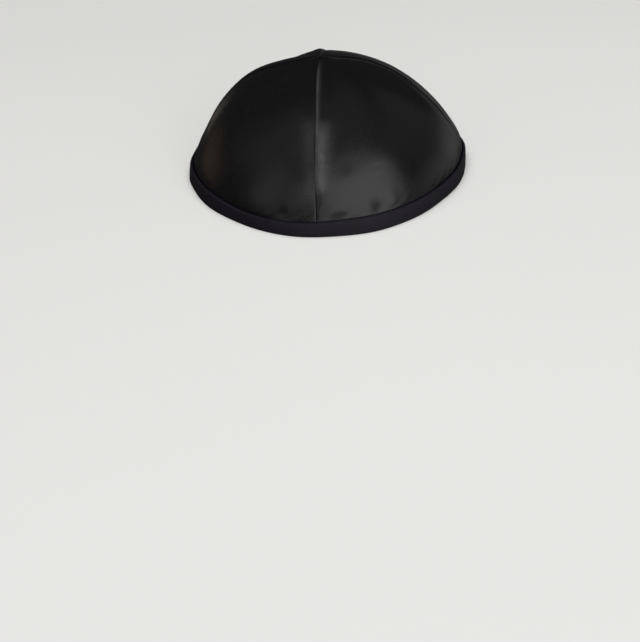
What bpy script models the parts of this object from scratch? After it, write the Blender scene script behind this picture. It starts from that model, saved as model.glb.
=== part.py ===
"""A skullcap sewn from four leather panels, its rim bound with folded cloth tape.

Metres, +Z up. The wearer faces +Y, so the back seam is at -Y and the wearer's right at +X.
The cap stands on its rim: the origin is on the floor, under the middle of the rim.
"""

import math

import bmesh
import bpy
import numpy as np
from mathutils import Vector

# Sizes, in metres
RIM_WIDTH = 0.160  # across the outside of the binding
CROWN_RISE = 0.065  # from the panels' lower edge up to the crown
LEATHER = 0.0012  # thickness of a panel
ALLOWANCE_THICKNESS = 0.0008  # pared edge, turned under and glued down
ALLOWANCE_WIDTH = 0.006
SEAM_GAP = 0.0003
SEAM_DEPTH = 0.0011  # how far the skin rolls down into a seam
SEAM_ROLL = 0.004  # how far from the seam the roll starts
TAPE = 0.0011  # one wall of the folded binding
BINDING_HEIGHT = 0.0095
BINDING_CLEARANCE = 0.0005  # between the leather and each wall of the binding
TAPE_CORNER = 0.0004  # rounding of the tape's folded edges
# Behind, the binding is lower by this share. It fades out at the spread on both sides.
LOWER_BEHIND_SHARE = 0.18
LOWER_BEHIND_DEGREES = 278.0
LOWER_BEHIND_SPREAD_DEGREES = 34.0

PANEL_FOOT = TAPE + SEAM_GAP
PANEL_REACH = RIM_WIDTH / 2 - TAPE - BINDING_CLEARANCE

# How far the crown leans, as shares of the panels' reach
CROWN_LEAN_SHARES = (-0.02, 0.05)  # to the wearer's right, and to the front

# The dome's upright sections, one each 45 degrees from the wearer's right round to the front.
# roof: share of the rise that is a straight slope. fullness: over 1 draws the shoulder in.
SECTION_COLUMNS = ("roof", "fullness")
SECTIONS = {
    "right_seam": (0.03, 1.08),
    "front_right": (0.12, 0.98),
    "front_seam": (0.16, 1.00),
    "front_left": (0.22, 0.90),
    "left_seam": (0.14, 1.00),
    "back_left": (0.28, 1.06),
    "back_seam": (0.20, 1.00),
    "back_right": (0.05, 0.98),
}

# How far the four seams wander from upright planes, in degrees of turn: one value at each
# step of the climb, from the foot to the crown.
DRIFT_STEP_DEGREES = 15.0
SEAM_DRIFT_DEGREES = {
    "right_seam": (0.0, 1.0, -1.5, -0.5, 9.0, 12.0, -8.0),
    "front_seam": (0.0, 0.0, 0.0, 0.0, 0.0, 0.0, 0.0),
    "left_seam": (0.0, 2.0, 0.5, -11.0, -11.5, -3.0, 12.0),
    "back_seam": (0.4, 0.5, 0.4, -0.5, 0.0, -0.8, -8.0),
}

# Each panel's two seams, and how much flatter than a round dome it hangs midway between them.
PANELS = {
    "panel_front_right": ("right_seam", "front_seam", 0.055),
    "panel_front_left": ("front_seam", "left_seam", 0.000),
    "panel_back_left": ("left_seam", "back_seam", 0.020),
    "panel_back_right": ("back_seam", "right_seam", 0.030),
}

# Dents (positive) and swellings (negative) of the skin. Turn and climb are the middle, in
# degrees, with the spread each way; depth is a share of the panels' reach.
DENT_COLUMNS = ("turn", "climb", "turn_spread", "climb_spread", "depth")
DENTS = {
    "lip_at_front_seam": (98.0, 70.0, 7.0, 9.0, -0.013),
    "hollow_left_of_crown": (130.0, 66.0, 15.0, 11.0, 0.018),
    "left_shoulder": (157.0, 54.0, 16.0, 14.0, -0.016),
    "tuck_over_left_binding": (172.0, 24.0, 16.0, 10.0, 0.018),
    "slack_over_right_binding": (26.0, 30.0, 18.0, 16.0, 0.009),
    "rim_left": (190.0, 2.0, 9.0, 9.0, -0.018),
    "rim_back_left": (232.0, 2.0, 14.0, 9.0, 0.013),
    "rim_back": (264.0, 2.0, 12.0, 9.0, -0.010),
    "rim_back_right": (292.0, 2.0, 12.0, 9.0, -0.012),
    "rim_right_back": (328.0, 2.0, 12.0, 9.0, 0.014),
    "rim_right": (8.0, 9.0, 9.0, 10.0, -0.017),
}

# The rolled edge: how far from the seam, as a share of the roll, and how much of the depth.
ROLL_SHARES = ((0.0, 1.0), (0.23, 0.45), (0.53, 0.10), (1.0, 0.0))
# Towards the crown the columns beside a seam come no further across a panel than these shares.
CROWDED_SHARES = (0.0, 0.06, 0.125, 0.21, 0.35, 0.39)
ALLOWANCE_STEP = 0.0004  # the slope at an allowance's edge
MIDDLE_COLUMNS = 9
CLIMB_ROWS = 13
BINDING_STATIONS = 96

# A climb goes from 0 degrees at the foot to this at the crown.
CROWN_DEGREES = 90.0
SLOPE_STEP_DEGREES = 0.5
HALVINGS = 40

LEATHER_COLOUR = (0.012, 0.012, 0.013, 1.0)
TAPE_COLOUR = (0.016, 0.014, 0.017, 1.0)


def clear_scene():
    for thing in list(bpy.data.objects):
        bpy.data.objects.remove(thing)


def finish_of(name, colour, roughness):
    material = bpy.data.materials.new(name)
    material.use_nodes = True
    surface = material.node_tree.nodes["Principled BSDF"]
    surface.inputs["Base Color"].default_value = colour
    surface.inputs["Roughness"].default_value = roughness
    surface.inputs["Metallic"].default_value = 0.0
    return material


def through_four(a, b, c, d, f):
    """A smooth curve through four neighbouring values, at a share of the way from b to c."""
    return b + 0.5 * f * (c - a + f * (2 * a - 5 * b + 4 * c - d + f * (3 * (b - c) + d - a)))


def section_value(column, turn):
    """A value of the sections at any turn, on a smooth closed curve through the eight rows."""
    rows = [row[SECTION_COLUMNS.index(column)] for row in SECTIONS.values()]
    place = (turn % 360.0) / 360.0 * len(rows)
    i = int(place)
    four = [rows[(i + step) % len(rows)] for step in (-1, 0, 1, 2)]
    return through_four(*four, place - i)


def seam_turn(seam, climb):
    """Where a seam stands at a climb, in degrees of turn."""
    upright = list(SECTIONS).index(seam) * 360.0 / len(SECTIONS)
    drifts = SEAM_DRIFT_DEGREES[seam]
    last = len(drifts) - 1
    place = max(0.0, climb) / DRIFT_STEP_DEGREES
    i = min(int(place), last - 1)
    four = [drifts[min(max(i + step, 0), last)] for step in (-1, 0, 1, 2)]
    return upright + through_four(*four, place - i)


def turned_away(turn, middle):
    """How far a turn is from another, in degrees, the shorter way round."""
    return (turn - middle + 180.0) % 360.0 - 180.0


def turn_in_panel(panel, across, climb):
    """The turn at a share across a panel, from its first seam to its second."""
    first, second, _ = PANELS[panel]
    start = seam_turn(first, climb)
    end = seam_turn(second, climb)
    if end < start:
        end += 360.0
    return start + across * (end - start)


def dent_at(turn, climb):
    """The skin's depth below the plain dome."""
    depth = 0.0
    for row in DENTS.values():
        dent = dict(zip(DENT_COLUMNS, row))
        aside = turned_away(turn, dent["turn"])
        above = climb - dent["climb"]
        depth += dent["depth"] * math.exp(
            -((aside / dent["turn_spread"]) ** 2) - (above / dent["climb_spread"]) ** 2
        )
    return depth * PANEL_REACH


def plain_section(panel, across, climb):
    """Radius and height of the plain dome, from the rim's middle and the panels' foot."""
    turn = turn_in_panel(panel, across, climb)
    slack = PANELS[panel][2] * math.sin(math.pi * across)
    roof = section_value("roof", turn)
    sine = math.sin(math.radians(climb))
    drawn_in = max(0.0, math.cos(math.radians(climb))) ** section_value("fullness", turn)
    radius = PANEL_REACH * drawn_in * (1 - slack * sine)
    height = CROWN_RISE * ((1 - roof) * sine + roof * (1 - drawn_in))
    return radius, height


def inward(panel, across, climb):
    """The direction into the cap, across the skin, in the upright plane: radial and up."""
    if climb >= CROWN_DEGREES:
        return np.array((0.0, -1.0))
    low = plain_section(panel, across, max(0.0, climb - SLOPE_STEP_DEGREES))
    high = plain_section(panel, across, min(CROWN_DEGREES, climb + SLOPE_STEP_DEGREES))
    along = np.subtract(high, low)
    return np.array((-along[1], along[0])) / np.linalg.norm(along)


def skin_point(panel, across, climb, depth=0.0):
    """A point on a panel's outer skin, or that far below it."""
    turn = math.radians(turn_in_panel(panel, across, climb))
    radius, height = plain_section(panel, across, climb)
    into = inward(panel, across, climb) * (depth + dent_at(math.degrees(turn), climb))
    lean = (1 - math.cos(math.radians(climb))) * PANEL_REACH
    radius += into[0]
    return np.array(
        (
            radius * math.cos(turn) + lean * CROWN_LEAN_SHARES[0],
            radius * math.sin(turn) + lean * CROWN_LEAN_SHARES[1],
            PANEL_FOOT + height + into[1],
        )
    )


def climb_to(panel, across, height):
    """The climb at which the skin reaches a height above the floor."""
    low, high = 0.0, CROWN_DEGREES
    for _ in range(HALVINGS):
        middle = (low + high) / 2
        if PANEL_FOOT + plain_section(panel, across, middle)[1] < height:
            low = middle
        else:
            high = middle
    return (low + high) / 2


def binding_top(panel, across):
    """The height of the binding's top edge, at a share across a panel."""
    aside = turned_away(turn_in_panel(panel, across, 0.0), LOWER_BEHIND_DEGREES)
    lower = math.exp(-((aside / LOWER_BEHIND_SPREAD_DEGREES) ** 4))
    return BINDING_HEIGHT * (1 - LOWER_BEHIND_SHARE * lower)


def column_shares(panel, climb):
    """How far across the panel each column stands, closer together beside the seams."""
    radius = max(plain_section(panel, 0.0, climb)[0], 1e-6)
    quarter_arc = radius * math.pi / 2
    rolled = [SEAM_ROLL * away for away, _ in ROLL_SHARES]
    distances = rolled + [ALLOWANCE_WIDTH, ALLOWANCE_WIDTH + ALLOWANCE_STEP]
    near = [min(distance / quarter_arc, share) for distance, share in zip(distances, CROWDED_SHARES)]
    span = 1 - 2 * near[-1]
    middle = [near[-1] + span * (i + 1) / (MIDDLE_COLUMNS + 1) for i in range(MIDDLE_COLUMNS)]
    return near + middle + [1 - share for share in reversed(near)]


def row_climbs(panel, across):
    """The climbs of a column's rows, with each row's name: within the binding, above it, and up."""
    top = binding_top(panel, across)
    bare = top + SEAM_GAP + ALLOWANCE_STEP
    low = [
        ("bound", climb_to(panel, across, PANEL_FOOT)),
        ("bound", climb_to(panel, across, top / 2)),
        ("bound", climb_to(panel, across, top)),
        ("rolled", climb_to(panel, across, bare)),
        ("full", climb_to(panel, across, bare + ALLOWANCE_STEP)),
    ]
    start = low[-1][1]
    step = (CROWN_DEGREES - start) / CLIMB_ROWS
    return low + [("full", start + step * (i + 1)) for i in range(CLIMB_ROWS)]


def skin_depths(row, from_seam):
    """How deep the outer and the inner skin lie, in a named row, so many columns from a seam."""
    roll = ROLL_SHARES[from_seam][1] if from_seam < len(ROLL_SHARES) else 0.0
    sunk = 0.0 if row == "bound" else SEAM_DEPTH * roll
    turned_under = row == "full" and from_seam <= len(ROLL_SHARES)
    return sunk, LEATHER + (ALLOWANCE_THICKNESS if turned_under else 0.0)


def panel_points(panel):
    """The outer and inner skins of a panel, as rows of points from its foot to its tip."""
    outer, inner = [], []
    for r, (row, middle_climb) in enumerate(row_climbs(panel, 0.5)):
        shares = column_shares(panel, middle_climb)
        outer_row, inner_row = [], []
        for c, across in enumerate(shares):
            climb = row_climbs(panel, across)[r][1]
            sunk, depth = skin_depths(row, min(c, len(shares) - 1 - c))
            outer_row.append(skin_point(panel, across, climb, sunk))
            inner_row.append(skin_point(panel, across, climb, depth))
        outer.append(outer_row)
        inner.append(inner_row)
    return outer, inner


def away_from_seams(panel):
    """The sideways step that leaves half the seam's gap at both edges of a panel."""
    middle = math.radians(turn_in_panel(panel, 0.5, 0.0))
    outward = np.array((math.cos(middle), math.sin(middle), 0.0))
    return np.sign(outward) * SEAM_GAP / 2


def add_object(name, mesh_builder, material):
    mesh = bpy.data.meshes.new(name)
    bmesh.ops.recalc_face_normals(mesh_builder, faces=mesh_builder.faces)
    mesh_builder.to_mesh(mesh)
    mesh_builder.free()
    mesh.materials.append(material)
    mesh.shade_smooth()
    mesh.set_sharp_from_angle(angle=math.radians(40))
    thing = bpy.data.objects.new(name, mesh)
    bpy.context.scene.collection.objects.link(thing)
    return thing


def make_panel(panel, material, parent):
    """One gore of the cap: two skins that meet along the foot and both seams, and at the tip."""
    builder = bmesh.new()
    shift = away_from_seams(panel)
    skins = []
    for rows in panel_points(panel):
        grid = [[builder.verts.new(point + shift) for point in row] for row in rows[:-1]]
        tip = builder.verts.new(rows[-1][0] + shift)
        for lower, upper in zip(grid, grid[1:]):
            for i in range(len(lower) - 1):
                builder.faces.new((lower[i], lower[i + 1], upper[i + 1], upper[i]))
        for i in range(len(grid[-1]) - 1):
            builder.faces.new((grid[-1][i], grid[-1][i + 1], tip))
        skins.append((grid, tip))
    (outer, outer_tip), (inner, inner_tip) = skins
    edges = [
        (outer[0], inner[0]),
        ([row[0] for row in outer] + [outer_tip], [row[0] for row in inner] + [inner_tip]),
        ([row[-1] for row in outer] + [outer_tip], [row[-1] for row in inner] + [inner_tip]),
    ]
    for outside, inside in edges:
        for i in range(len(outside) - 1):
            builder.faces.new((outside[i], outside[i + 1], inside[i + 1], inside[i]))
    thing = add_object(panel, builder, material)
    thing.parent = parent


def binding_profile(top):
    """The folded tape's section: how far out from the leather's skin, and how high."""
    out = BINDING_CLEARANCE + TAPE
    back = -LEATHER - BINDING_CLEARANCE - TAPE
    slot_out = BINDING_CLEARANCE
    slot_back = -LEATHER - BINDING_CLEARANCE
    corner = TAPE_CORNER
    return [
        (out - corner, 0.0),
        (out, corner),
        (out, top / 2),
        (out, top - corner),
        (out - corner, top),
        (slot_out, top),
        (slot_out, top / 2),
        (slot_out, TAPE),
        (slot_back, TAPE),
        (slot_back, top / 2),
        (slot_back, top),
        (back + corner, top),
        (back, top - corner),
        (back, top / 2),
        (back, corner),
        (back + corner, 0.0),
    ]


def binding_point(panel, across, offset, height):
    """A point of the tape, out from the leather's skin at that height."""
    climb = climb_to(panel, across, max(height, PANEL_FOOT))
    point = skin_point(panel, across, climb)
    turn = math.radians(turn_in_panel(panel, across, climb))
    return np.array((point[0] + offset * math.cos(turn), point[1] + offset * math.sin(turn), height))


def binding_rings():
    """The tape's section at each station round the rim."""
    per_panel = BINDING_STATIONS // len(PANELS)
    stations = [(panel, i / per_panel) for panel in PANELS for i in range(per_panel)]
    rings = []
    for panel, across in stations:
        profile = binding_profile(binding_top(panel, across))
        rings.append([binding_point(panel, across, offset, height) for offset, height in profile])
    return rings


def rim_middle():
    """The middle of the binding's extents, on the floor."""
    points = np.array(binding_rings()).reshape(-1, 3)
    return Vector((points.min(axis=0) + points.max(axis=0)) / 2 * (1, 1, 0))


def make_binding(material, parent):
    """The tape, folded over the panels' lower edges in one ring."""
    builder = bmesh.new()
    rings = [[builder.verts.new(point) for point in ring] for ring in binding_rings()]
    for here, there in zip(rings, rings[1:] + rings[:1]):
        for i in range(len(here)):
            j = (i + 1) % len(here)
            builder.faces.new((here[i], there[i], there[j], here[j]))
    thing = add_object("rim_binding", builder, material)
    thing.parent = parent


def main():
    clear_scene()
    leather = finish_of("black_leather", LEATHER_COLOUR, 0.42)
    tape = finish_of("black_tape", TAPE_COLOUR, 0.9)
    cap = bpy.data.objects.new("skullcap", None)
    bpy.context.scene.collection.objects.link(cap)
    cap.location = -rim_middle()
    for panel in PANELS:
        make_panel(panel, leather, cap)
    make_binding(tape, cap)


main()
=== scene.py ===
import math
import bpy
import numpy as np
from mathutils import Matrix, Vector, noise


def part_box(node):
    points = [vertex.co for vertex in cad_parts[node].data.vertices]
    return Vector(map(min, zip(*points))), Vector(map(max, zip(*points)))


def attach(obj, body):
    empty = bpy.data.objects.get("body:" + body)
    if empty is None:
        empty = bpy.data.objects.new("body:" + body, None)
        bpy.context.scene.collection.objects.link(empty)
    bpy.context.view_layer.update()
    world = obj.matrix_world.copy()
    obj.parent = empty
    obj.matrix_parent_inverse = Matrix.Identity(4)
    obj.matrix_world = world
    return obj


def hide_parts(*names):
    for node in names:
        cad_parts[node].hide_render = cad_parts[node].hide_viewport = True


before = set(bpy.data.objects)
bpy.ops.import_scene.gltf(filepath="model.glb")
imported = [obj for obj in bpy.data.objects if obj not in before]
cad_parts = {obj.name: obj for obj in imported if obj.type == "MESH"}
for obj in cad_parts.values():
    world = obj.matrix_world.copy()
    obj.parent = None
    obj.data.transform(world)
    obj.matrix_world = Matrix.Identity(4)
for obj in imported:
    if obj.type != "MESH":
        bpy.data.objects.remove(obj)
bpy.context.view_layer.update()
print("frame loaded")


# The cap's own form. Turns go round from the wearer's right, in degrees. A climb goes from 0 at
# the foot to 90 at the crown. Lengths are in metres.
capShape = {
    "rimWidth": 0.160,
    "crownRise": 0.065,
    "leather": 0.0012,
    "tape": 0.0011,
    "bindingHeight": 0.0095,
    "bindingClearance": 0.0005,
    "lowerBehind": 0.15,
    "lowerTurn": 252.0,
    "lowerSpread": 24.0,
    "footGap": 0.0003,
    "crownLean": (-0.02, 0.05),
    "driftStep": 15.0,
}
# How flat the roof is and how full the side is, at each seam and each panel's middle.
capSections = {
    "rightSeam": (0.03, 1.08),
    "frontRight": (0.12, 0.98),
    "frontSeam": (0.16, 1.00),
    "frontLeft": (0.22, 0.90),
    "leftSeam": (0.14, 1.00),
    "backLeft": (0.28, 1.06),
    "backSeam": (0.20, 1.00),
    "backRight": (0.05, 0.98),
}
# How far each seam wanders from upright, in degrees, at every drift step of the climb.
seamDrifts = {
    "rightSeam": (0.0, 1.0, -1.5, -0.5, 9.0, 12.0, -8.0),
    "frontSeam": (0.0, 0.0, 0.0, 0.0, 0.0, 0.0, 0.0),
    "leftSeam": (0.0, 2.0, 0.5, -11.0, -11.5, -3.0, 12.0),
    "backSeam": (0.4, 0.4, 0.2, 0.0, -0.2, -2.4, -8.0),
}
# Each panel's CAD node, the seams on its two sides, and how slack its middle is.
panelTable = {
    "leather_front_right": ("panel_front_right", "rightSeam", "frontSeam", 0.055),
    "leather_front_left": ("panel_front_left", "frontSeam", "leftSeam", 0.000),
    "leather_back_left": ("panel_back_left", "leftSeam", "backSeam", 0.020),
    "leather_back_right": ("panel_back_right", "backSeam", "rightSeam", 0.030),
}
# Turn, climb, spread of each, and depth as a share of the cap's reach (below zero stands proud).
capDents = (
    (98, 70, 7, 9, -0.013),
    (130, 66, 15, 11, 0.018),
    (157, 54, 16, 14, -0.016),
    (172, 24, 16, 10, 0.018),
    (26, 30, 18, 16, 0.009),
    (190, 2, 9, 9, -0.018),
    (232, 2, 14, 9, 0.013),
    (264, 2, 12, 9, -0.010),
    (292, 2, 12, 9, -0.012),
    (328, 2, 12, 9, 0.014),
    (8, 9, 9, 10, -0.017),
)
panelFoot = capShape["tape"] + capShape["footGap"]
panelReach = capShape["rimWidth"] / 2 - capShape["tape"] - capShape["bindingClearance"]


# A smooth curve through four neighbouring values, at a share of the way from the second.
def throughFour(a, b, c, d, f):
    return b + 0.5 * f * (c - a + f * (2 * a - 5 * b + 4 * c - d + f * (3 * (b - c) + d - a)))


def sectionValue(column, turn):
    rows = np.array([row[column] for row in capSections.values()])
    place = (turn % 360.0) / 360.0 * len(rows)
    i = np.floor(place).astype(int)
    return throughFour(*(rows[(i + step) % len(rows)] for step in (-1, 0, 1, 2)), place - i)


def seamTurn(seam, climb):
    upright = list(capSections).index(seam) * 360.0 / len(capSections)
    drifts = np.array(seamDrifts[seam])
    last = len(drifts) - 1
    place = np.maximum(climb, 0.0) / capShape["driftStep"]
    i = np.minimum(np.floor(place).astype(int), last - 1)
    four = (drifts[np.clip(i + step, 0, last)] for step in (-1, 0, 1, 2))
    return upright + throughFour(*four, place - i)


def turnInPanel(panel, across, climb):
    start = seamTurn(panelTable[panel][1], climb)
    end = seamTurn(panelTable[panel][2], climb)
    end = np.where(end < start, end + 360.0, end)
    return start + across * (end - start)


def turnAway(turn, centre):
    return (turn - centre + 180.0) % 360.0 - 180.0


def dentAt(turn, climb):
    depth = 0.0
    for at, height, turnSpread, climbSpread, share in capDents:
        aside = turnAway(turn, at) / turnSpread
        above = (climb - height) / climbSpread
        depth = depth + share * np.exp(-(aside**2) - above**2)
    return depth * panelReach


def plainSection(panel, across, climb):
    turn = turnInPanel(panel, across, climb)
    slack = panelTable[panel][3] * np.sin(np.pi * across)
    roof = sectionValue(0, turn)
    sine = np.sin(np.radians(climb))
    drawnIn = np.maximum(0.0, np.cos(np.radians(climb))) ** sectionValue(1, turn)
    radius = panelReach * drawnIn * (1 - slack * sine)
    height = capShape["crownRise"] * ((1 - roof) * sine + roof * (1 - drawnIn))
    return radius, height


# The way into the cap, across the skin: how far inwards along the radius, and how far up.
def inward(panel, across, climb):
    low = plainSection(panel, across, np.maximum(0.0, climb - 0.5))
    high = plainSection(panel, across, np.minimum(90.0, climb + 0.5))
    outStep, upStep = high[0] - low[0], high[1] - low[1]
    length = np.hypot(outStep, upStep)
    atCrown = climb >= 89.999
    return np.where(atCrown, 0.0, -upStep / length), np.where(atCrown, -1.0, outStep / length)


def skinPoint(panel, across, climb, depth=0.0):
    turn = turnInPanel(panel, across, climb)
    radius, height = plainSection(panel, across, climb)
    intoRadius, intoHeight = inward(panel, across, climb)
    sunk = depth + dentAt(turn, climb)
    lean = (1 - np.cos(np.radians(climb))) * panelReach
    radius = radius + intoRadius * sunk
    angle = np.radians(turn)
    return np.stack(
        (
            radius * np.cos(angle) + lean * capShape["crownLean"][0],
            radius * np.sin(angle) + lean * capShape["crownLean"][1],
            panelFoot + height + intoHeight * sunk,
        ),
        axis=-1,
    )


def climbTo(panel, across, height):
    low = np.zeros(np.broadcast(across, height).shape)
    high = np.full(low.shape, 90.0)
    for _ in range(40):
        middle = (low + high) / 2
        short = panelFoot + plainSection(panel, across, middle)[1] < height
        low = np.where(short, middle, low)
        high = np.where(short, high, middle)
    return (low + high) / 2


# The binding's top edge is lower behind, by this share of its full height at each turn.
def bindingShare(turn):
    aside = turnAway(turn, capShape["lowerTurn"]) / capShape["lowerSpread"]
    return 1 - capShape["lowerBehind"] * np.exp(-(aside**4))


# The skin at a share of the binding's height, all round the rim: its turns, places and heights.
def rimLoop(share, perPanel):
    turns, places, heights = [], [], []
    for panel in panelTable:
        across = np.arange(perPanel) / perPanel
        tops = capShape["bindingHeight"] * bindingShare(turnInPanel(panel, across, 0.0))
        heights.append(np.maximum(tops * share, panelFoot))
        climb = climbTo(panel, across, heights[-1])
        turns.append(turnInPanel(panel, across, climb))
        places.append(skinPoint(panel, across, climb)[:, :2])
    return np.concatenate(turns), np.concatenate(places), np.concatenate(heights)


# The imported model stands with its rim's middle over the origin, so every place takes this step.
def stepToFrame():
    out = capShape["bindingClearance"] + capShape["tape"]
    rings = []
    for share in (0.0, 0.5, 0.95):
        turns, places, _ = rimLoop(share, 24)
        facing = np.stack((np.cos(np.radians(turns)), np.sin(np.radians(turns))), axis=-1)
        rings.append(places + out * facing)
    ring = np.concatenate(rings)
    middle = (ring.min(axis=0) + ring.max(axis=0)) / 2
    low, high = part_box("rim_binding")
    boxMiddle = ((low[0] + high[0]) / 2, (low[1] + high[1]) / 2)
    return np.array((boxMiddle[0] - middle[0], boxMiddle[1] - middle[1], 0.0))


frameStep = stepToFrame()
print("step to the frame", frameStep * 1000)


# A wire holds one socket of a tree. Sums and products of wires add Math nodes to the tree.
class Wire:
    def __init__(self, tree, socket=None):
        self.tree = tree
        self.socket = socket

    def node(self, kind, settings=None, inputs=None, output=0):
        made = self.tree.nodes.new(kind)
        for name, value in (settings or {}).items():
            if name == "items":
                while len(made.index_switch_items) < value:
                    made.index_switch_items.new()
            else:
                setattr(made, name, value)
        for name, value in (inputs or {}).items():
            socket = pickSocket(made.inputs, name)
            if isinstance(value, Wire):
                self.tree.links.new(value.socket, socket)
            else:
                socket.default_value = value
        return Wire(self.tree, pickSocket(made.outputs, output))

    def output(self, name):
        return Wire(self.tree, pickSocket(self.socket.node.outputs, name))

    def maths(self, operation, *values):
        return self.node("ShaderNodeMath", {"operation": operation}, dict(enumerate(values)))

    def __add__(self, other):
        return self.maths("ADD", self, other)

    def __radd__(self, other):
        return self.maths("ADD", other, self)

    def __sub__(self, other):
        return self.maths("SUBTRACT", self, other)

    def __rsub__(self, other):
        return self.maths("SUBTRACT", other, self)

    def __mul__(self, other):
        return self.maths("MULTIPLY", self, other)

    def __rmul__(self, other):
        return self.maths("MULTIPLY", other, self)

    def __truediv__(self, other):
        return self.maths("DIVIDE", self, other)

    def __rtruediv__(self, other):
        return self.maths("DIVIDE", other, self)


def pickSocket(sockets, name):
    if isinstance(name, int):
        return sockets[name]
    return next(socket for socket in sockets if socket.name == name and socket.enabled)


def smoothStep(wire, low, high):
    return wire.node(
        "ShaderNodeMapRange",
        {"interpolation_type": "SMOOTHSTEP"},
        {"Value": wire, "From Min": low, "From Max": high},
    )


def noiseAt(place, scale, detail=2.0, roughness=0.5):
    return place.node(
        "ShaderNodeTexNoise",
        None,
        {"Vector": place, "Scale": scale, "Detail": detail, "Roughness": roughness},
    )


def mixColours(factor, first, second):
    colours = {"Factor": factor, "A": first, "B": second}
    for name in ("A", "B"):
        if isinstance(colours[name], tuple):
            colours[name] = (*colours[name], 1.0)
    return factor.node("ShaderNodeMix", {"data_type": "RGBA"}, colours, "Result")


def bump(height, distance, strength=1.0, below=None):
    inputs = {"Height": height, "Distance": distance, "Strength": strength}
    if below is not None:
        inputs["Normal"] = below
    return height.node("ShaderNodeBump", None, inputs)


def newMaterial(name):
    material = bpy.data.materials.new(name)
    material.use_nodes = True
    tree = material.node_tree
    tree.nodes.clear()
    start = Wire(tree)
    return material, start, start.node("ShaderNodeTexCoord", None, None, "Object")


def finishMaterial(start, constants, varying):
    shader = start.node("ShaderNodeBsdfPrincipled", None, {**constants, **varying}, "BSDF")
    output = start.tree.nodes.new("ShaderNodeOutputMaterial")
    start.tree.links.new(shader.socket, output.inputs["Surface"])


# Smooth black leather with a soft sheen: fine pores, faint mottling, glossier seam shoulders.
grainLook = {
    "black": (0.0050, 0.0047, 0.0053),
    # Pale colour for random wear specks, and for highlights painted along the seam lips.
    "highlightAndWear": (0.0620, 0.0600, 0.0610),
    # Near black for painted shade in the hollows and the seam grooves.
    "deep": (0.0008, 0.0007, 0.0008),
    "dulling": 0.30,
    "roughness": 0.25,
    "mottle": 0.10,
    "shoulderGloss": 0.05,
    "shoulderFrom": 0.0006,
    "shoulderTo": 0.0030,
    "cloudScale": 46.0,
    "wornScale": 190.0,
    "poreScale": 1500.0,
    "poreDepth": 0.000018,
    "creaseScale": 210.0,
    "creaseDepth": 0.00012,
}


def grainLeather():
    material, start, place = newMaterial("black_leather_grain")
    cloudy = noiseAt(place, grainLook["cloudScale"], 3.0)
    wearAndHighlight = noiseAt(place, grainLook["wornScale"], 4.0, 0.6)
    # The finish reads the distance from the seam, the painted lip highlights and the painted shade.
    fromSeam, lip, shadeAndDulling = (
        start.node("ShaderNodeAttribute", {"attribute_name": name}, None, "Fac")
        for name in ("fromSeam", "lipWear", "dullSpot")
    )
    shoulder = 1 - smoothStep(fromSeam, grainLook["shoulderFrom"], grainLook["shoulderTo"])
    # Paler colour from random wear specks, plus the highlights painted along the seam lips.
    highlightAndWearMix = smoothStep(wearAndHighlight, 0.50, 0.85) * 0.02 + lip * (0.7 + 0.6 * (wearAndHighlight - 0.5))
    colour = mixColours(highlightAndWearMix, grainLook["black"], grainLook["highlightAndWear"])
    # Painted shade: the colour goes near black in the hollows and the seam grooves, which are also
    # duller.
    colour = mixColours(shadeAndDulling, colour, grainLook["deep"])
    roughness = grainLook["roughness"] + (cloudy - 0.5) * grainLook["mottle"] * 2
    roughness = roughness + (wearAndHighlight - 0.5) * grainLook["mottle"] - shoulder * grainLook["shoulderGloss"]
    roughness = roughness + shadeAndDulling * grainLook["dulling"]
    cells = start.node(
        "ShaderNodeTexVoronoi",
        {"feature": "DISTANCE_TO_EDGE"},
        {"Vector": place, "Scale": grainLook["poreScale"]},
        "Distance",
    )
    pebble = smoothStep(cells, 0.0, 0.22)
    pores = noiseAt(place, grainLook["poreScale"] * 2.2, 2.0)
    creases = noiseAt(place, grainLook["creaseScale"], 4.0, 0.62)
    fine = bump(pebble * 0.6 + pores * 0.4, grainLook["poreDepth"])
    normal = bump(creases, grainLook["creaseDepth"], 0.30, fine)
    finishMaterial(
        start,
        {"Specular IOR Level": 0.5},
        {"Base Color": colour, "Roughness": roughness, "Normal": normal},
    )
    return material


# The leather's flesh side, seen inside the cap: a short dark nap.
fleshLook = {
    "dark": (0.014, 0.012, 0.012),
    "light": (0.030, 0.026, 0.025),
    "roughness": 0.92,
    "napScale": 2600.0,
    "brushedScale": 120.0,
    "napDepth": 0.00009,
}


def fleshLeather():
    material, start, place = newMaterial("black_leather_flesh")
    nap = noiseAt(place, fleshLook["napScale"], 3.0, 0.7)
    brushed = noiseAt(place, fleshLook["brushedScale"], 4.0, 0.6)
    tone = smoothStep(brushed, 0.35, 0.70) * 0.6 + nap * 0.3
    colour = mixColours(tone, fleshLook["dark"], fleshLook["light"])
    roughness = fleshLook["roughness"] + (nap - 0.5) * 0.1
    normal = bump(nap * 0.7 + brushed * 0.5, fleshLook["napDepth"])
    finishMaterial(
        start,
        {"Specular IOR Level": 0.25, "Sheen Weight": 0.25, "Sheen Roughness": 0.6},
        {"Base Color": colour, "Roughness": roughness, "Normal": normal},
    )
    return material


# Matt black cloth tape in a fine plain weave, which follows the tape round its fold.
tapeLook = {
    "dark": (0.0036, 0.0022, 0.0054),
    "light": (0.0088, 0.0058, 0.0128),
    "roughness": 0.50,
    "threadPitch": 0.00042,
    "fuzzScale": 2400.0,
    "fadedScale": 140.0,
    "weaveDepth": 0.00010,
}


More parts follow.
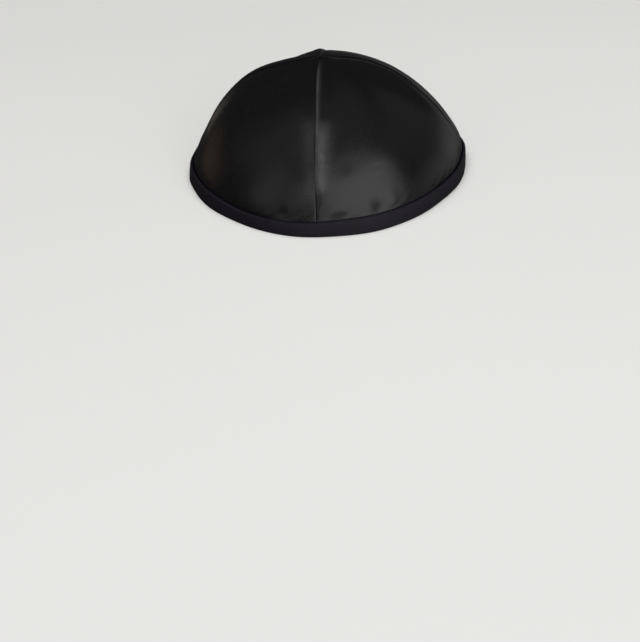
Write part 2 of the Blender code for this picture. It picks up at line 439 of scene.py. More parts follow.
def tapeCloth():
    material, start, place = newMaterial("black_tape_weave")
    uv = start.node("ShaderNodeUVMap", {"uv_map": "UVMap"})
    parts = start.node("ShaderNodeSeparateXYZ", None, {"Vector": uv}, "X")
    turns = math.pi / tapeLook["threadPitch"]
    along = parts.maths("SINE", parts * turns)
    around = parts.maths("SINE", parts.output("Y") * turns)
    over = smoothStep(along * around, -0.25, 0.25)
    warp = parts.maths("ABSOLUTE", along)
    weft = parts.maths("ABSOLUTE", around)
    threads = over * weft + (1 - over) * warp
    fuzz = noiseAt(place, tapeLook["fuzzScale"], 3.0, 0.7)
    faded = noiseAt(place, tapeLook["fadedScale"], 4.0, 0.6)
    tone = threads * 0.45 + fuzz * 0.25 + smoothStep(faded, 0.40, 0.75) * 0.35
    colour = mixColours(tone, tapeLook["dark"], tapeLook["light"])
    roughness = tapeLook["roughness"] + (fuzz - 0.5) * 0.08
    normal = bump(threads * 0.8 + fuzz * 0.4, tapeLook["weaveDepth"])
    finishMaterial(
        start,
        {"Specular IOR Level": 0.5},
        {"Base Color": colour, "Roughness": roughness, "Normal": normal},
    )
    return material


# Black polyester sewing thread, twisted from finer yarns.
threadLook = {
    "dark": (0.008, 0.008, 0.009),
    "light": (0.022, 0.021, 0.023),
    "roughness": 0.55,
    "twistScale": 2600.0,
    "lintScale": 3000.0,
    "twistDepth": 0.00005,
}


def sewingThread():
    material, start, place = newMaterial("black_thread")
    twist = start.node(
        "ShaderNodeTexWave",
        {"wave_type": "BANDS", "bands_direction": "DIAGONAL"},
        {"Vector": place, "Scale": threadLook["twistScale"], "Distortion": 1.5},
        "Fac",
    )
    lint = noiseAt(place, threadLook["lintScale"], 2.0)
    colour = mixColours(twist * 0.7 + lint * 0.3, threadLook["dark"], threadLook["light"])
    roughness = threadLook["roughness"] + (lint - 0.5) * 0.2
    normal = bump(twist, threadLook["twistDepth"])
    finishMaterial(
        start,
        {"Specular IOR Level": 0.4},
        {"Base Color": colour, "Roughness": roughness, "Normal": normal},
    )
    return material


grain = grainLeather()
flesh = fleshLeather()
tapeFinish = tapeCloth()
threadFinish = sewingThread()
print("materials made")


# The four leather panels. Each edge rolls down into its seam and is turned under inside.
panelSizes = {
    "seamDepth": 0.0010,
    "seamRoll": 0.0040,
    "lowRoll": 0.35,
    "rollShare": 0.21,
    "seamSlit": 0.00003,
    "lipReach": 0.0030,
    # How far from a seam the painted shade along its edge reaches.
    "edgeShadeReach": 0.0024,
    "allowanceWidth": 0.0062,
    "allowanceShare": 0.35,
    "allowanceThickness": 0.0008,
    "allowanceWander": 0.00035,
    "allowanceFade": 0.0002,
    "allowanceFoot": (0.0098, 0.0104),
    "bareEdge": (-0.0002, 0.0009),
    "stitchPitch": 0.0032,
    "pucker": 0.00003,
    "puckerReach": 0.0025,
    "waves": 0.00012,
    "waveSizes": (0.030, 0.014),
    "edgeWaveSize": 0.007,
    "waveQuiet": 0.010,
    "gather": 0.00009,
    "gatherPitch": 0.0095,
    "gatherReach": 0.005,
    "gatherSway": 0.004,
    "highlightEnds": 10.0,
    "columns": 108,
    "middleRows": 77,
    "sharpAngle": 50.0,
}
# The climbs between which each change along a seam comes in.
fades = {
    "roll": (11.0, 20.0),
    "lip": (16.0, 27.0),
    "paintedEdgeShade": (20.0, 34.0),
    "middle": (30.0, 44.0),
    "high": (44.0, 56.0),
    "crown": (80.0, 90.0),
}
# The columns beside a seam stand at these distances from it, and the others are spread evenly.
# The lowest rows stand at these heights. Both are in millimetres.
nearSeam = (
    0, 0.08, 0.2, 0.35, 0.55, 0.8, 1.1, 1.5, 2.0, 2.6,
    3.3, 4.0, 4.8, 5.5, 5.9, 6.1, 6.3, 6.6, 7.2,
)
lowRows = (1.4, 3.0, 5.0, 7.0, 8.4, 9.2, 9.6, 10.0, 10.4, 10.9, 11.5, 12.2, 13.0)
topClimbs = (87.5, 88.3, 89.0, 89.5, 89.8, 90.0)
# Soft folds in the leather: turn, climb, slant in degrees, half length and half width in
# millimetres, and depth in millimetres (below zero stands proud).
softFolds = {
    "creaseLeftOfBackSeam": (267.4, 21.9, 0, 2.6, 0.55, -0.20),
    "creaseRightOfBackSeam": (274.6, 20.6, 4, 2.6, 0.55, -0.13),
    "hollowBackLeft": (257.2, 10.4, 0, 2.6, 4.0, 0.62),
    "patchBackLeft": (247.0, 16.5, 6, 8.0, 4.0, -0.22),
    "patchBesideSeam": (264.0, 15.9, 8, 4.0, 2.6, -0.10),
    "hollowBackRight": (295.2, 9.6, 0, 3.0, 4.0, 0.45),
    "hollowBesideSeam": (280.0, 9.4, 0, 3.6, 2.8, 0.36),
    "patchBackRight": (302.0, 13.0, -76, 6.0, 3.0, -0.24),
    "broadBackRight": (284.0, 15.0, 0, 10.0, 7.0, -0.18),
    "creaseBackRight": (296.7, 29.3, -6, 6.0, 0.6, 0.12),
    "dipBackRight": (284.6, 32.6, 0, 8.0, 6.0, 0.24),
}
# Painted shade in the hollows, also duller: turn, climb, half breadth and half height in millimetres,
# and how much.
paintedShadeSpots = {
    "hollowBackLeft": (257.2, 13.2, 2.4, 3.8, 0.9),
    "hollowBackRight": (294.4, 11.2, 3.2, 5.2, 0.9),
    "hollowBesideSeam": (279.0, 9.6, 4.2, 3.0, 0.9),
    "dipBackRight": (284.2, 32.6, 4.2, 5.0, 0.45),
}
# One degree of climb is about this many millimetres of leather.
climbLength = 1.25
# How proud each panel's edge stands at a seam, in millimetres, how much of the seam's depth it
# keeps low down and towards the crown, and how much painted shade, with dulling, it takes there.
seamLips = {
    ("leather_back_right", "backSeam"): (0.42, 0.80, 1.00, 0.0),
    ("leather_back_left", "backSeam"): (0.00, 0.10, 0.15, 0.0),
    ("leather_back_right", "rightSeam"): (0.00, 1.00, 1.60, 1.0),
    ("leather_front_right", "rightSeam"): (0.50, 1.00, 1.60, 0.9),
    ("leather_back_left", "leftSeam"): (0.12, 1.00, 1.00, 0.7),
    ("leather_front_left", "leftSeam"): (0.10, 1.00, 1.00, 0.7),
    ("leather_front_left", "frontSeam"): (0.30, 1.00, 1.00, 0.0),
    ("leather_front_right", "frontSeam"): (0.10, 1.00, 1.00, 0.0),
}
# Stretches with highlights painted on in a paler colour: how strong, how far from the seam and
# how wide in millimetres, and from which climb to which.
paintedHighlightStretches = (
    ("leather_back_right", "backSeam", 1.25, 0.0, 1.3, 45, 89),
    ("leather_back_right", "backSeam", 1.05, 3.22, 4.4, 19, 57),
    ("leather_back_left", "backSeam", 0.32, 2.3, 4.0, 13, 60),
    ("leather_front_left", "frontSeam", 0.35, 0.0, 1.2, 18, 84),
    ("leather_front_right", "frontSeam", 0.25, 0.0, 1.2, 18, 84),
)


def fadeUp(value, low, high):
    share = np.clip((value - low) / (high - low), 0.0, 1.0)
    return share * share * (3 - 2 * share)


def columnShares(panel, climb):
    arc = np.maximum(plainSection(panel, np.zeros_like(climb), climb)[0], 1e-6) * math.pi / 2
    count = panelSizes["columns"]
    even = np.arange(count) / (count - 1)
    near = np.array(nearSeam) / 1000.0
    last = len(near) - 1
    shares = np.zeros((len(climb), count))
    for i, length in enumerate(arc):
        edge = np.minimum(near / length, even[: last + 1])
        middle = np.linspace(edge[-1], 1 - edge[-1], count - 2 * last)
        shares[i] = np.concatenate((edge[:-1], middle, (1 - edge[:-1])[::-1]))
    return shares, arc


def panelGrid(panel):
    heights = np.array(lowRows) / 1000.0
    lowClimbs = climbTo(panel, np.full(len(heights), 0.5), heights)
    evenClimbs = np.linspace(lowClimbs[-1], topClimbs[0], panelSizes["middleRows"] + 1)[1:]
    middleClimbs = np.concatenate((lowClimbs, evenClimbs, topClimbs[1:]))
    shares, arc = columnShares(panel, middleClimbs)
    climbs = np.zeros_like(shares)
    low = len(heights)
    lowered = bindingShare(turnInPanel(panel, shares, 0.0))
    climbs[:low] = climbTo(panel, shares[:low], heights[:, None] * lowered[:low])
    start = climbTo(panel, shares[low:], heights[-1] * lowered[low:])
    rise = (middleClimbs[low:] - lowClimbs[-1]) / (90.0 - lowClimbs[-1])
    climbs[low:] = start + rise[:, None] * (90.0 - start)
    return shares, climbs, arc


def foldDepth(turn, climb, radius):
    depth = np.zeros_like(turn)
    for at, height, slant, halfLength, halfWidth, deep in softFolds.values():
        along = np.radians(turnAway(turn, at)) * radius * 1000.0
        up = (climb - height) * climbLength
        angle = math.radians(slant)
        lengthwise = (along * math.cos(angle) + up * math.sin(angle)) / halfLength
        crosswise = (up * math.cos(angle) - along * math.sin(angle)) / halfWidth
        depth += deep / 1000.0 * np.exp(-(lengthwise**2) - crosswise**2)
    return depth


# How much painted shade, with dulling, each point takes from the shade spots.
def paintedShadeAt(turn, climb, radius):
    shadeAndDulling = np.zeros_like(turn)
    for at, height, halfBreadth, halfHeight, much in paintedShadeSpots.values():
        along = np.radians(turnAway(turn, at)) * radius * 1000.0 / halfBreadth
        up = (climb - height) * climbLength / halfHeight
        shadeAndDulling += much * np.exp(-((along**2 + up**2) ** 1.5))
    return shadeAndDulling


# What the two seams do to a panel's edges: how much of the seam's depth is kept, how far the
# edge stands proud, how much painted shade with dulling it takes, and how much painted highlight.
def seamEdges(name, shares, climbs, fromSeam):
    kept = np.ones_like(shares)
    proud, shadeAndDulling, wearAndHighlight = (np.zeros_like(shares) for _ in range(3))
    belowCrown = 1 - fadeUp(climbs, *fades["crown"])
    lifted = fadeUp(climbs, *fades["lip"]) * belowCrown
    lipSpread = lifted * np.exp(-((fromSeam / panelSizes["lipReach"]) ** 2))
    # Painted shade, with dulling, along the seam edges.
    edgeShadeSpread = np.exp(-((fromSeam / panelSizes["edgeShadeReach"]) ** 4))
    edgeShadeSpread = edgeShadeSpread * fadeUp(climbs, *fades["paintedEdgeShade"])
    ends = panelSizes["highlightEnds"]
    for side, seam in enumerate(panelTable[name][1:3]):
        lip, keptLow, keptHigh, paintedEdgeShade = seamLips[(name, seam)]
        beside = shares < 0.5 if side == 0 else shares >= 0.5
        kept *= 1 - beside * (1 - keptHigh) * fadeUp(climbs, *fades["high"]) * belowCrown
        kept *= 1 - beside * (1 - keptLow) * (1 - fadeUp(climbs, *fades["middle"]))
        proud += beside * lip / 1000.0 * lipSpread
        shadeAndDulling += beside * paintedEdgeShade * edgeShadeSpread
        # Painted highlights: stretches of a seam lip are made paler.
        for panel, edge, highlightAndWear, centre, wide, low, high in paintedHighlightStretches:
            if (panel, edge) != (name, seam):
                continue
            stretch = fadeUp(climbs, low, low + ends) * (1 - fadeUp(climbs, high - ends, high))
            aside = np.abs(fromSeam * 1000.0 - centre) / wide
            wearAndHighlight += beside * highlightAndWear * stretch * np.exp(-(aside**1.6))
    return kept, proud, shadeAndDulling, wearAndHighlight


# Soft unevenness at each point of a panel: broad waves, and a finer one for the allowance's edge.
def skinNoise(name, places):
    seed = Vector((3.1 * list(panelTable).index(name), 0.0, 7.0))
    broad, small = panelSizes["waveSizes"]
    wave, edgeWave = (np.zeros(places.shape[:2]) for _ in range(2))
    for i, j in np.ndindex(wave.shape):
        spot = Vector(places[i, j])
        wave[i, j] = noise.noise(spot / broad + seed) + 0.5 * noise.noise(spot / small + seed)
        edgeWave[i, j] = noise.noise(spot / panelSizes["edgeWaveSize"] + seed)
    return wave, edgeWave


# The panel's outer and inner skins, where its allowance is folded inside, and the values that
# the leather's finish reads at each point.
def panelSkins(name):
    shares, climbs, arc = panelGrid(name)
    fromSeam = np.minimum(shares, 1 - shares) * arc[:, None]
    turn = turnInPanel(name, shares, climbs)
    radius, height = plainSection(name, shares, climbs)
    height = (height + panelFoot) / bindingShare(turnInPanel(name, shares, 0.0))
    top = capShape["bindingHeight"]
    bareFrom, bareTo = panelSizes["bareEdge"]
    bare = fadeUp(height, top + bareFrom, top + bareTo)
    kept, proud, paintedEdgeShade, lipWear = seamEdges(name, shares, climbs, fromSeam)
    places = skinPoint(name, shares, climbs)
    wave, edgeWave = skinNoise(name, places)

    roll = np.minimum(panelSizes["seamRoll"], panelSizes["rollShare"] * arc)[:, None]
    lowRoll = panelSizes["lowRoll"]
    roll = roll * (lowRoll + (1 - lowRoll) * fadeUp(climbs, *fades["roll"]))
    under = np.clip(1 - fromSeam / roll, 0.0, 1.0)
    sunk = panelSizes["seamDepth"] * (1 - np.sqrt(1 - under**2)) * bare * kept

    steps = np.linalg.norm(np.diff(places, axis=0), axis=2)
    walked = np.vstack((np.zeros((1, shares.shape[1])), np.cumsum(steps, axis=0)))
    beat = 0.5 + 0.5 * np.cos(2 * np.pi * walked / panelSizes["stitchPitch"])
    pucker = panelSizes["pucker"] * beat * np.exp(-((fromSeam / panelSizes["puckerReach"]) ** 2)) * bare
    quiet = fadeUp(fromSeam, 0.0, panelSizes["waveQuiet"]) * bare
    swayed = np.radians(turn) * radius + panelSizes["gatherSway"] * wave
    pleat = np.cos(2 * np.pi * swayed / panelSizes["gatherPitch"])
    settled = np.exp(-np.maximum(height - top, 0.0) / panelSizes["gatherReach"])
    waves = panelSizes["waves"] * wave + panelSizes["gather"] * pleat * settled
    relief = foldDepth(turn, climbs, radius) + pucker - proud + waves * quiet
    outer = skinPoint(name, shares, climbs, sunk + relief)

    turned = np.minimum(panelSizes["allowanceWidth"], panelSizes["allowanceShare"] * arc)[:, None]
    turned = turned + panelSizes["allowanceWander"] * edgeWave
    soft = panelSizes["allowanceFade"]
    folded = 1 - fadeUp(fromSeam, turned - soft, turned + soft)
    folded = folded * fadeUp(height, *panelSizes["allowanceFoot"])
    thickness = capShape["leather"] + panelSizes["allowanceThickness"] * folded
    inner = skinPoint(name, shares, climbs, thickness + relief)
    # The painted shade of the spots and the seam edges, and the painted lip highlights, go to the
    # finish.
    shadeAndDulling = np.minimum(paintedShadeAt(turn, climbs, radius) + paintedEdgeShade, 1.0)
    return outer, inner, folded, {"fromSeam": fromSeam, "lipWear": lipWear, "dullSpot": shadeAndDulling}


# The faces of the two skins, which each end in one point at the crown, and of the cut edges
# between them, with the number of each face's material: 0 for grain and 1 for flesh.
def panelFaces(folded):
    rows, columns = folded.shape
    half = (rows - 1) * columns + 1
    faces, finishes = [], []
    for base, step in ((0, 1), (half, -1)):
        for i in range(rows - 2):
            for j in range(columns - 1):
                a = base + i * columns + j
                faces.append((a, a + 1, a + 1 + columns, a + columns)[::step])
                finishes.append(1 if step < 0 and folded[i, j] < 0.5 else 0)
        for j in range(columns - 1):
            a = base + (rows - 2) * columns + j
            faces.append((a, a + 1, base + half - 1)[::step])
            finishes.append(0)
    for j in range(columns - 1):
        faces.append((j + 1, j, j + half, j + 1 + half))
    for i in range(rows - 1):
        here, there = i * columns, (i + 1) * columns if i < rows - 2 else half - 1
        faces.append((here, there, there + half, here + half))
        here = i * columns + columns - 1
        there = here + columns if i < rows - 2 else half - 1
        faces.append((there, here, here + half, there + half))
    return faces, finishes + [0] * (len(faces) - len(finishes))


def makePanel(name):
    outer, inner, folded, layers = panelSkins(name)
    middle = math.radians(float(turnInPanel(name, 0.5, 0.0)))
    sides = (np.sign(math.cos(middle)), np.sign(math.sin(middle)), 0.0)
    apart = np.array(sides) * panelSizes["seamSlit"]
    points = []
    for skin in (outer, inner):
        placed = skin + frameStep + apart
        points += placed[:-1].reshape(-1, 3).tolist() + [placed[-1, 0].tolist()]
    faces, finishes = panelFaces(folded)
    mesh = bpy.data.meshes.new(name)
    mesh.from_pydata(points, [], faces)
    mesh.materials.append(grain)
    mesh.materials.append(flesh)
    mesh.polygons.foreach_set("material_index", finishes)
    for label, values in layers.items():
        skinValues = np.concatenate((values[:-1].ravel(), (0.0,)))
        layer = mesh.attributes.new(label, "FLOAT", "POINT")
        layer.data.foreach_set("value", np.tile(skinValues, 2).astype(np.float32))
    mesh.shade_smooth()
    mesh.set_sharp_from_angle(angle=math.radians(panelSizes["sharpAngle"]))
    mesh.update()
    piece = bpy.data.objects.new(name, mesh)
    bpy.context.scene.collection.objects.link(piece)
    node = panelTable[name][0]
    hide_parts(node)
    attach(piece, "root")


for panelName in panelTable:
    makePanel(panelName)
print("panels made")


def newTree(name, inputs):
    tree = bpy.data.node_groups.new(name, "GeometryNodeTree")
    tree.interface.new_socket("Geometry", in_out="INPUT", socket_type="NodeSocketGeometry")
    for label, value in inputs.items():
        kind = "NodeSocketMaterial" if value is None else "NodeSocketFloat"
        socket = tree.interface.new_socket(label, in_out="INPUT", socket_type=kind)
        if value is not None:
            socket.default_value = value
    tree.interface.new_socket("Geometry", in_out="OUTPUT", socket_type="NodeSocketGeometry")
    return tree, Wire(tree).node("NodeGroupInput", None, None, "Geometry")


def readAttribute(wire, name, kind="FLOAT"):
    return wire.node("GeometryNodeInputNamedAttribute", {"data_type": kind}, {"Name": name})


def endTree(wire, material):
    real = wire.node("GeometryNodeRealizeInstances", None, {"Geometry": wire})
    finished = wire.node("GeometryNodeSetMaterial", None, {"Geometry": real, "Material": material})
    output = wire.tree.nodes.new("NodeGroupOutput")
    wire.tree.links.new(finished.socket, output.inputs[0])


# Runs a tree over a path of points and keeps the result as a plain mesh.
def pieceFromTree(name, path, tree, values):
    mesh = bpy.data.meshes.new(name + "_path")
    chains = path["chains"]
    starts = np.cumsum([0] + [len(chain) for chain in chains])
    edges = [(s + i, s + i + 1) for s, chain in zip(starts, chains) for i in range(len(chain) - 1)]
    mesh.from_pydata(np.concatenate(chains).tolist(), edges, [])
    for label, numbers in path.get("numbers", {}).items():
        layer = mesh.attributes.new(label, "FLOAT", "POINT")
        layer.data.foreach_set("value", numbers.astype(np.float32))
    for label, vectors in path.get("vectors", {}).items():
        layer = mesh.attributes.new(label, "FLOAT_VECTOR", "POINT")
        layer.data.foreach_set("vector", vectors.astype(np.float32).ravel())
    holder = bpy.data.objects.new(name + "_path", mesh)
    bpy.context.scene.collection.objects.link(holder)
    modifier = holder.modifiers.new("tree", "NODES")
    modifier.node_group = tree
    for socket in tree.interface.items_tree:
        if socket.in_out == "INPUT" and socket.name in values:
            modifier[socket.identifier] = values[socket.name]
    bpy.context.view_layer.update()
    graph = bpy.context.evaluated_depsgraph_get()
    made = bpy.data.meshes.new_from_object(holder.evaluated_get(graph))
    made.name = name
    made.materials.clear()
    made.materials.append(values["Material"])
    made.polygons.foreach_set("material_index", [0] * len(made.polygons))
    holder.modifiers.remove(modifier)
    bpy.data.objects.remove(holder)
    piece = bpy.data.objects.new(name, made)
    bpy.context.scene.collection.objects.link(piece)
    return piece


# The cloth tape folded over the panels' lower edges.
bindingSizes = {
    "Height": capShape["bindingHeight"],
    "Face": 0.0016,
    "Wall": capShape["tape"],
    "Ease": 0.00015,
    "Leather": capShape["leather"],
    "Bulge": 0.00018,
    "Corner": 0.00050,
    "Slope": 0.0012,
    "Wander": 0.00014,
    "Wander Scale": 70.0,
}


def bindingTree():
    tree, geometry = newTree("folded_tape", {**bindingSizes, "Material": None})
    height, face, wall = (geometry.output(name) for name in ("Height", "Face", "Wall"))
    slotOut = geometry.output("Ease")
    slotBack = 0.0 - (geometry.output("Leather") + geometry.output("Ease"))
    bulge = geometry.output("Bulge")
    back = slotBack - (face - slotOut)
    middle = (face + back) * 0.5
    half = height * 0.5
    edge = height - geometry.output("Slope")
    corners = (
        (middle, 0.0),
        (face, 0.0),
        (face + bulge, half),
        (face, edge),
        (slotOut, height),
        (slotOut, wall),
        (slotBack, wall),
        (slotBack, height),
        (back, edge),
        (back - bulge, half),
        (back, 0.0),
        (middle, 0.0),
    )
    index = geometry.node("GeometryNodeInputIndex")
    line = geometry.node("GeometryNodeCurvePrimitiveLine")
    points = geometry.node(
        "GeometryNodeResampleCurve", {"mode": "COUNT"}, {"Curve": line, "Count": len(corners)}
    )
    switches = []
    switchKind = {"data_type": "FLOAT", "items": len(corners)}
    for values in zip(*reversed(corners)):
        inputs = {"Index": index, **{i + 1: value for i, value in enumerate(values)}}
        switches.append(geometry.node("GeometryNodeIndexSwitch", switchKind, inputs))
    spot = geometry.node("ShaderNodeCombineXYZ", None, {"X": switches[0], "Y": 0.0 - switches[1]})
    shaped = geometry.node("GeometryNodeSetPosition", None, {"Geometry": points, "Position": spot})
    rounded = geometry.node(
        "GeometryNodeFilletCurve",
        {"mode": "POLY"},
        {"Curve": shaped, "Count": 4, "Radius": geometry.output("Corner"), "Limit Radius": True},
    )
    finer = geometry.node("GeometryNodeSubdivideCurve", None, {"Curve": rounded, "Cuts": 1})
    aroundLength = geometry.node("GeometryNodeSplineParameter", None, None, "Length")
    section = geometry.node(
        "GeometryNodeStoreNamedAttribute",
        {"data_type": "FLOAT", "domain": "POINT"},
        {"Geometry": finer, "Name": "around", "Value": aroundLength},
    )
    rail = geometry.node("GeometryNodeMeshToCurve", None, {"Mesh": geometry})
    outward = readAttribute(geometry, "outward", "FLOAT_VECTOR")
    facing = geometry.node(
        "GeometryNodeSetCurveNormal", {"mode": "FREE"}, {"Curve": rail, "Normal": outward}
    )
    swept = geometry.node("GeometryNodeCurveToMesh", None, {"Curve": facing, "Profile Curve": section})
    spotNow = geometry.node("GeometryNodeInputPosition")
    levels = geometry.node("ShaderNodeSeparateXYZ", None, {"Vector": spotNow}, "Z")
    lean = readAttribute(geometry, "lean")
    tall = readAttribute(geometry, "tall")
    wander = (noiseAt(spotNow, geometry.output("Wander Scale")) - 0.5) * 2.0 * geometry.output("Wander")
    push = lean * tall * (levels - half) + wander * (levels / height)
    aside = geometry.node(
        "ShaderNodeVectorMath", {"operation": "SCALE"}, {"Vector": outward, "Scale": push}
    )
    lowered = geometry.node("ShaderNodeCombineXYZ", None, {"Z": levels * (tall - 1.0)})
    step = geometry.node("ShaderNodeVectorMath", {"operation": "ADD"}, {0: aside, 1: lowered})
    leaning = geometry.node("GeometryNodeSetPosition", None, {"Geometry": swept, "Offset": step})
    along = readAttribute(geometry, "along")
    around = readAttribute(geometry, "around")
    uv = geometry.node("ShaderNodeCombineXYZ", None, {"X": along, "Y": around})
    mapped = geometry.node(
        "GeometryNodeStoreNamedAttribute",
        {"data_type": "FLOAT2", "domain": "CORNER"},
        {"Geometry": leaning, "Name": "UVMap", "Value": uv},
    )
    joined = geometry.node(
        "GeometryNodeMergeByDistance", None, {"Geometry": mapped, "Distance": 0.00002}
    )
    endTree(joined, geometry.output("Material"))
    return tree


# The rail that the tape is swept along, with what the tree reads at each of its points.
def rimPath(perPanel):
    places = rimLoop(0.5, perPanel)[1]
    _, topPlaces, tops = rimLoop(1.0, perPanel)
    _, footPlaces, feet = rimLoop(0.0, perPanel)
    lean = (np.linalg.norm(topPlaces, axis=1) - np.linalg.norm(footPlaces, axis=1)) / (tops - feet)
    points = np.column_stack((places, np.zeros(len(places)))) + frameStep
    ahead = np.roll(points, -1, axis=0) - np.roll(points, 1, axis=0)
    outward = np.column_stack((ahead[:, 1], -ahead[:, 0], np.zeros(len(points))))
    outward /= np.linalg.norm(outward, axis=1)[:, None]
    rail = {"points": points, "outward": outward, "lean": lean, "tall": tops / capShape["bindingHeight"]}
    rail = {label: np.concatenate((values, values[:1])) for label, values in rail.items()}
    steps = np.linalg.norm(np.diff(rail["points"], axis=0), axis=1)
    rail["along"] = np.concatenate(((0.0,), np.cumsum(steps)))
    return rail


rim = rimPath(60)
binding = pieceFromTree(
    "tape_binding",
    {
        "chains": [rim["points"]],
        "numbers": {label: rim[label] for label in ("lean", "tall", "along")},
        "vectors": {"outward": rim["outward"]},
    },
    bindingTree(),
    {**bindingSizes, "Material": tapeFinish},
)
binding.data.shade_smooth()
binding.data.set_sharp_from_angle(angle=math.radians(60))
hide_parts("rim_binding")
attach(binding, "root")
print("binding made, lowest", min(v.co.z for v in binding.data.vertices), len(binding.data.polygons))


# Thread: a row in each seam's groove, and a row near the binding's top edge outside and inside.
stitchSizes = {"Pitch": 0.0031, "Length": 0.0023, "Thick": 0.00034, "Sink": 0.00016}
# A seam's row runs from its first height to its last climb, sunk by a share of the seam's depth.
# A binding's row stands at its height, and this far out from the leather's outer face.
rowPlaces = {
    "seamFrom": 0.0112,
    "seamTo": 87.0,
    "seamSunk": 0.80,
    "bindingHeight": 0.0082,
    "outside": 0.00166,
    "inside": -0.00285,
}


def stitchTree():
    tree, geometry = newTree("sewn_row", {**stitchSizes, "Material": None})
    rail = geometry.node("GeometryNodeMeshToCurve", None, {"Mesh": geometry})
    spots = geometry.node(
        "GeometryNodeCurveToPoints",
        {"mode": "LENGTH"},
        {"Curve": rail, "Length": geometry.output("Pitch")},
        "Points",
    )
    outward = readAttribute(geometry, "outward", "FLOAT_VECTOR")
    facing = geometry.node(
        "FunctionNodeAxesToRotation",
        {"primary_axis": "Z", "secondary_axis": "X"},
        {"Primary Axis": outward, "Secondary Axis": spots.output("Tangent")},
    )
    half = geometry.output("Length") * 0.5
    deep = 0.0 - geometry.output("Sink")
    start = geometry.node("ShaderNodeCombineXYZ", None, {"X": 0.0 - half, "Z": deep})
    middle = geometry.node("ShaderNodeCombineXYZ", None, {"Z": geometry.output("Sink")})
    end = geometry.node("ShaderNodeCombineXYZ", None, {"X": half, "Z": deep})
    arch = geometry.node(
        "GeometryNodeCurveQuadraticBezier",
        None,
        {"Resolution": 4, "Start": start, "Middle": middle, "End": end},
    )
    ring = geometry.node(
        "GeometryNodeCurvePrimitiveCircle",
        {"mode": "RADIUS"},
        {"Resolution": 5, "Radius": geometry.output("Thick") * 0.5},
        "Curve",
    )
    stitch = geometry.node(
        "GeometryNodeCurveToMesh", None, {"Curve": arch, "Profile Curve": ring, "Fill Caps": True}
    )
    sewn = geometry.node(
        "GeometryNodeInstanceOnPoints", None, {"Points": spots, "Instance": stitch, "Rotation": facing}
    )
    endTree(sewn, geometry.output("Material"))
    return tree


def seamChains():
    chains, outwards = [], []
    for panel in panelTable:
        start = rowPlaces["seamFrom"] * bindingShare(turnInPanel(panel, 0.0, 0.0))
        climbs = np.linspace(float(climbTo(panel, 0.0, start)), rowPlaces["seamTo"], 90)
        across = np.zeros_like(climbs)
        surface = skinPoint(panel, across, climbs)
        below = skinPoint(panel, across, climbs, 0.001)
        outward = (surface - below) / 0.001
        chains.append(surface - outward * panelSizes["seamDepth"] * rowPlaces["seamSunk"] + frameStep)
        outwards.append(outward)
    return chains, np.concatenate(outwards)


def bindingChain(offset):
    height = rowPlaces["bindingHeight"]
    above = (height - capShape["bindingHeight"] / 2) * rim["tall"]
    points = rim["points"] + rim["outward"] * (offset + rim["lean"] * above)[:, None]
    points[:, 2] = height * rim["tall"]
    return points


sewnRow = stitchTree()
seamPoints, seamOutward = seamChains()
stitchRows = {
    "thread_panel_seams": (seamPoints, seamOutward, "leather"),
    "thread_binding_outside": ([bindingChain(rowPlaces["outside"])], rim["outward"], "binding_tape"),
    "thread_binding_inside": ([bindingChain(rowPlaces["inside"])], -rim["outward"], "binding_tape"),
}
for rowName, (chains, outward, slotName) in stitchRows.items():
    row = pieceFromTree(
        rowName,
        {"chains": chains, "vectors": {"outward": outward}},
        sewnRow,
        {**stitchSizes, "Material": threadFinish},
    )
    row.data.shade_smooth()
    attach(row, "root")
    print(rowName, len(row.data.polygons))


# The pale floor, the soft lights and the camera.
studio = {
    "floor": (0.70, 0.70, 0.69),
    "floorSize": 9.0,
    "world": 0.026,
    "cameraPlace": (0.06385, -0.57671, 0.30698),
    "cameraAim": (0.00946, -0.15597, 0.0),
    "cameraRoll": -3.723,
    "lens": 61.68,
    "sensor": 36.0,
    "nearest": 0.01,
}
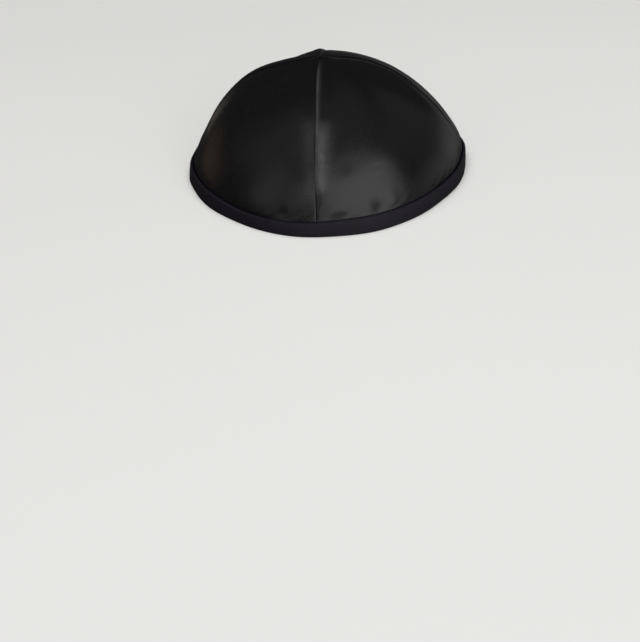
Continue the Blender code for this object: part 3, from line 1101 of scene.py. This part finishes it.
# Each light's place, what it points at, its width and height, its power, its colour, and
# whether it shows in the leather's sheen.
studioLights = {
    "soft_overhead": ((0.0, -0.2, 2.2), (0.0, 0.0, 0.0), 2.4, 2.4, 56.0, (1.0, 0.995, 0.98), False),
    "window_right": ((0.695, -1.150, 0.64), (0.0, 0.0, 0.64), 1.75, 1.7, 12.8, (0.99, 0.99, 1.0), True),
    "fill_left": ((-0.90, -1.10, 0.58), (0.0, 0.0, 0.03), 1.45, 1.4, 1.6, (1.0, 0.99, 1.0), True),
    "fill_high": ((-0.95, -0.25, 1.25), (0.0, 0.0, 0.03), 1.3, 1.1, 0.75, (1.0, 0.99, 1.0), True),
    "frame_left": ((-1.125, -0.817, 0.52), (0.0, 0.0, 0.03), 0.42, 0.50, 0.13, (1.0, 0.99, 1.0), True),
    "window_top": ((0.56, -1.22, 1.95), (0.0, 0.0, 1.95), 1.4, 0.90, 2.2, (0.99, 0.99, 1.0), True),
    "frame_middle": ((-0.431, -1.184, 0.64), (0.0, 0.0, 0.03), 0.40, 0.70, 0.30, (1.0, 0.99, 1.0), True),
    "fill_above": ((1.11, 0.40, 0.95), (0.0, 0.0, 0.03), 1.4, 1.0, 0.53, (0.99, 0.99, 1.0), True),
    "ceiling": ((0.1, -0.1, 2.0), (0.0, 0.0, 0.0), 1.6, 1.6, 1.0, (1.0, 1.0, 1.0), True),
    "warm_left": ((-1.36, 0.56, 0.16), (0.0, 0.0, 0.03), 0.6, 0.6, 0.22, (1.0, 0.66, 0.42), True),
    "rim_left": ((-0.80, 1.02, -0.04), (0.0, 0.0, 0.03), 0.2, 0.25, 0.05, (1.0, 0.88, 0.72), True),
    "rim_behind": ((0.09, 1.28, -0.20), (0.0, 0.0, 0.03), 0.4, 0.25, 0.03, (1.0, 1.0, 0.98), True),
    "wall_right": ((0.93, 0.90, -0.16), (0.0, 0.0, 0.03), 1.5, 0.50, 0.38, (0.99, 1.0, 1.0), True),
    "fill_right": ((1.38, -0.19, -0.15), (0.0, 0.0, 0.03), 1.3, 0.75, 0.56, (0.99, 1.0, 1.0), True),
    "fill_side": ((1.27, 0.59, 0.02), (0.0, 0.0, 0.03), 1.2, 0.80, 0.36, (0.99, 1.0, 1.0), True),
}


def makeFloor():
    half = studio["floorSize"] / 2
    mesh = bpy.data.meshes.new("pale_floor")
    corners = [(-half, -half, 0.0), (half, -half, 0.0), (half, half, 0.0), (-half, half, 0.0)]
    mesh.from_pydata(corners, [], [(0, 1, 2, 3)])
    material, start, place = newMaterial("pale_floor")
    tone = noiseAt(place, 3.0, 2.0)
    pale = studio["floor"]
    colour = mixColours(tone, tuple(0.98 * c for c in pale), pale)
    finishMaterial(start, {"Roughness": 0.9, "Specular IOR Level": 0.2}, {"Base Color": colour})
    mesh.materials.append(material)
    floor = bpy.data.objects.new("pale_floor", mesh)
    bpy.context.scene.collection.objects.link(floor)
    floor.visible_glossy = False


def makeLight(name, place, target, width, height, power, colour, inSheen):
    lamp = bpy.data.lights.new(name, "AREA")
    lamp.shape = "RECTANGLE"
    lamp.size = width
    lamp.size_y = height
    lamp.energy = power
    lamp.color = colour
    thing = bpy.data.objects.new(name, lamp)
    thing.location = place
    thing.rotation_euler = (Vector(target) - Vector(place)).to_track_quat("-Z", "Y").to_euler()
    thing.visible_glossy = inSheen
    bpy.context.scene.collection.objects.link(thing)


def makeCamera():
    lens = bpy.data.cameras.new("camera")
    lens.lens = studio["lens"]
    lens.sensor_width = studio["sensor"]
    lens.clip_start = studio["nearest"]
    camera = bpy.data.objects.new("camera", lens)
    aim = Vector(studio["cameraAim"]) - Vector(studio["cameraPlace"])
    turned = aim.to_track_quat("-Z", "Y").to_matrix()
    rolled = turned @ Matrix.Rotation(math.radians(studio["cameraRoll"]), 3, "Z")
    camera.matrix_world = Matrix.Translation(studio["cameraPlace"]) @ rolled.to_4x4()
    bpy.context.scene.collection.objects.link(camera)
    bpy.context.scene.camera = camera


makeFloor()
for lightName, values in studioLights.items():
    makeLight(lightName, *values)
world = bpy.data.worlds.new("dim_grey")
world.use_nodes = True
background = world.node_tree.nodes["Background"]
background.inputs["Color"].default_value = (1.0, 1.0, 1.0, 1.0)
background.inputs["Strength"].default_value = studio["world"]
bpy.context.scene.world = world
bpy.context.scene.view_settings.view_transform = "Standard"
makeCamera()
print("floor, lights and camera placed")
